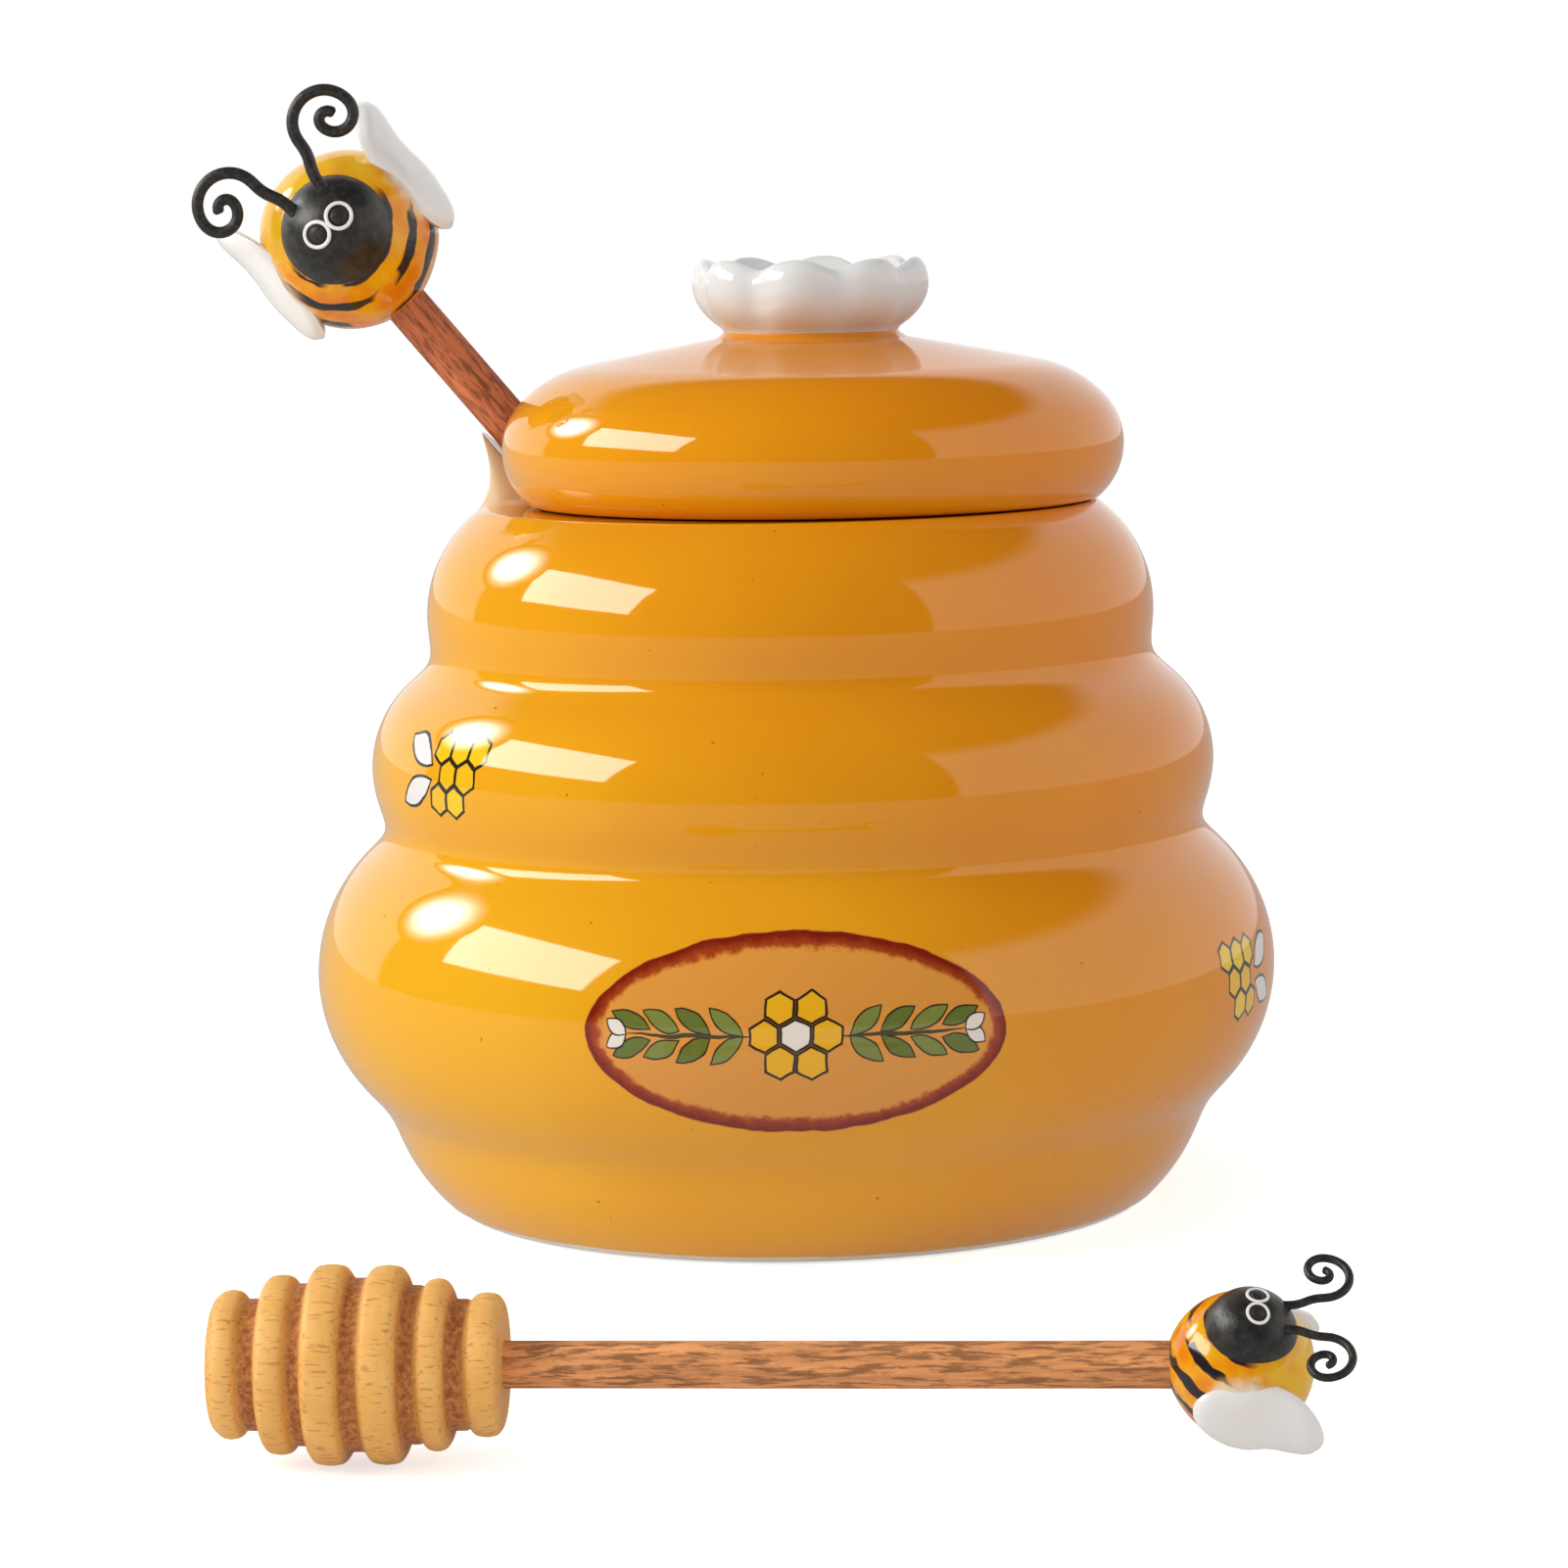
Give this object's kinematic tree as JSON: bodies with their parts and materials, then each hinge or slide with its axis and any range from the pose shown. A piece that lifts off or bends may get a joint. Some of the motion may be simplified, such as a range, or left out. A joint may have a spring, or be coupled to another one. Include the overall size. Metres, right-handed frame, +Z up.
{
  "type": "honey pot",
  "caption": "Beehive-shaped glazed honey pot with a notched lift-off lid, a flower knob and wooden dippers that end in a small modelled bee.",
  "frame": {"origin": "centre of the pot's flat foot, on the table plane", "axes": "+Z up along the pot's axis; -Y towards the viewer and the loose dipper; the standing dipper leans to -X"},
  "size_m": [0.1462, 0.2313, 0.1527],
  "materials": {
    "honey_glaze": "glossy translucent honey-amber glaze over stoneware",
    "white_glaze": "glossy white glaze",
    "bee_glaze": "glossy yellow-orange glaze with dark painted bands",
    "face_glaze": "half-matt black glaze",
    "black_glaze": "glossy black",
    "black_wire": "matt black wire",
    "beech": "turned light hardwood, unvarnished",
    "stick_wood": "reddish-brown coarse-grained dowel"
  },
  "bodies": {
    "pot": {"pot_body": "honey_glaze"},
    "lid": {"lid_shell": "honey_glaze", "flower_knob": "white_glaze"},
    "dipper": {"dipper_head": "beech", "dipper_stick": "stick_wood", "bee_body": "bee_glaze", "bee_head": "face_glaze", "bee_wing_right": "white_glaze", "bee_wing_left": "white_glaze", "eye_rims": "white_glaze", "pupils": "black_glaze", "antenna_right": "black_wire", "antenna_left": "black_wire"},
    "spare_dipper": {"spare_dipper_head": "beech", "spare_dipper_stick": "stick_wood", "spare_bee_body": "bee_glaze", "spare_bee_head": "face_glaze", "spare_bee_wing_right": "white_glaze", "spare_bee_wing_left": "white_glaze", "spare_eye_rims": "white_glaze", "spare_pupils": "black_glaze", "spare_antenna_right": "black_wire", "spare_antenna_left": "black_wire"}
  },
  "joints": [
    {"name": "lid_lift", "type": "slide", "parent": "pot", "child": "lid", "axis": [0, 0, 1], "range_m": [0, 0.12]},
    {"name": "dipper_draw", "type": "slide", "parent": "pot", "child": "dipper", "axis": [-0.6388, 0, 0.7694], "range_m": [0, 0.05]},
    {"name": "spare_dipper_pick_up", "type": "slide", "parent": "pot", "child": "spare_dipper", "axis": [0, 0, 1], "range_m": [0, 0.1]}
  ]
}
